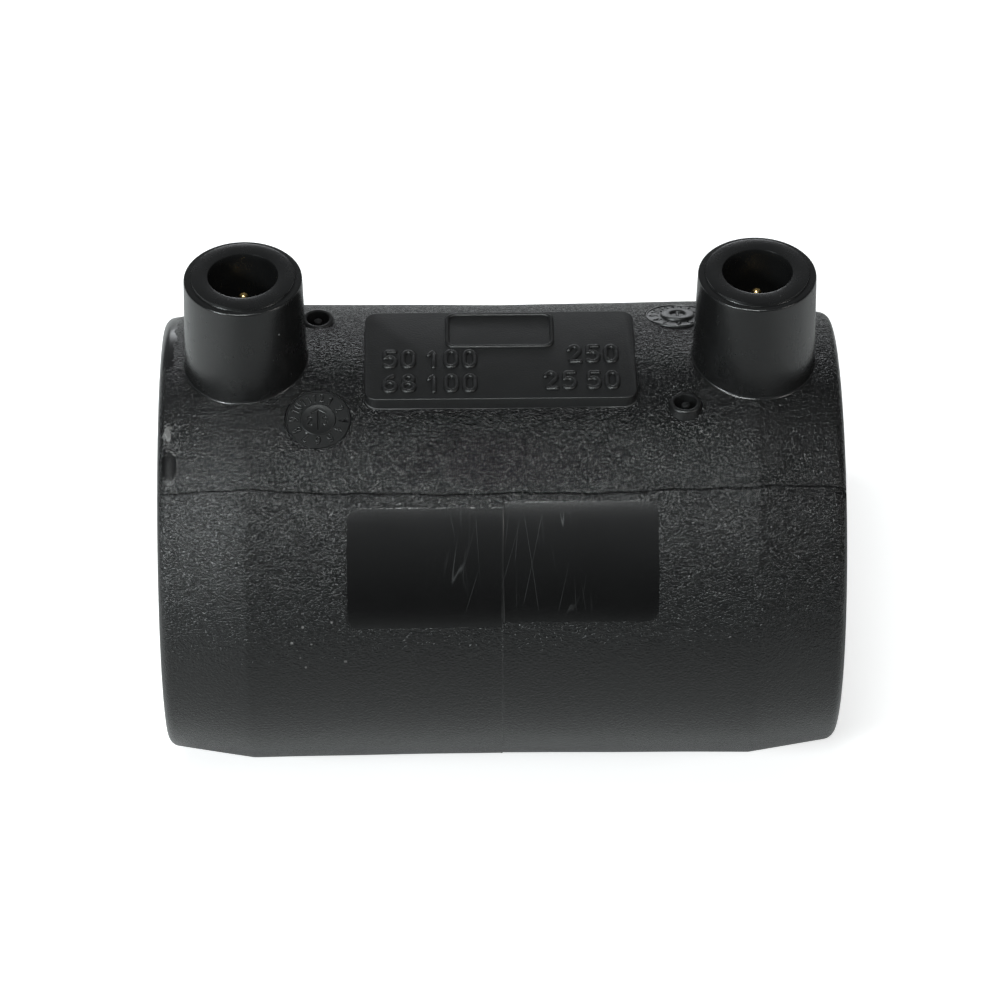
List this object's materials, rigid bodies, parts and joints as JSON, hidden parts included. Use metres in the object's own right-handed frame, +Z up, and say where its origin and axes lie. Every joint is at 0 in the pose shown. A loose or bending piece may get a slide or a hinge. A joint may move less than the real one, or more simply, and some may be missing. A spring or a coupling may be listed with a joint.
{
  "type": "electrofusion coupler",
  "caption": "Straight electrofusion coupler: thick black polyethylene sleeve with a buried heating coil, shrouded brass terminals, a crown plate and fusion indicators.",
  "frame": {"origin": "on the pipe axis at the middle of the stop ring", "axes": "+X along the pipe axis towards the right socket, +Z up along the terminals, -Y towards the label field"},
  "size_m": [0.1, 0.0682, 0.0836],
  "materials": {
    "polyethylene": "black polyethylene, fine spark-eroded grain outside, satin shrouds, smooth bore",
    "resistance_wire": "bright drawn copper-alloy wire",
    "terminal_brass": "turned brass"
  },
  "bodies": {
    "root": {"coupler_body": "polyethylene", "heating_wire": "resistance_wire", "terminal_pin_left": "terminal_brass", "terminal_pin_right": "terminal_brass"}
  },
  "joints": []
}
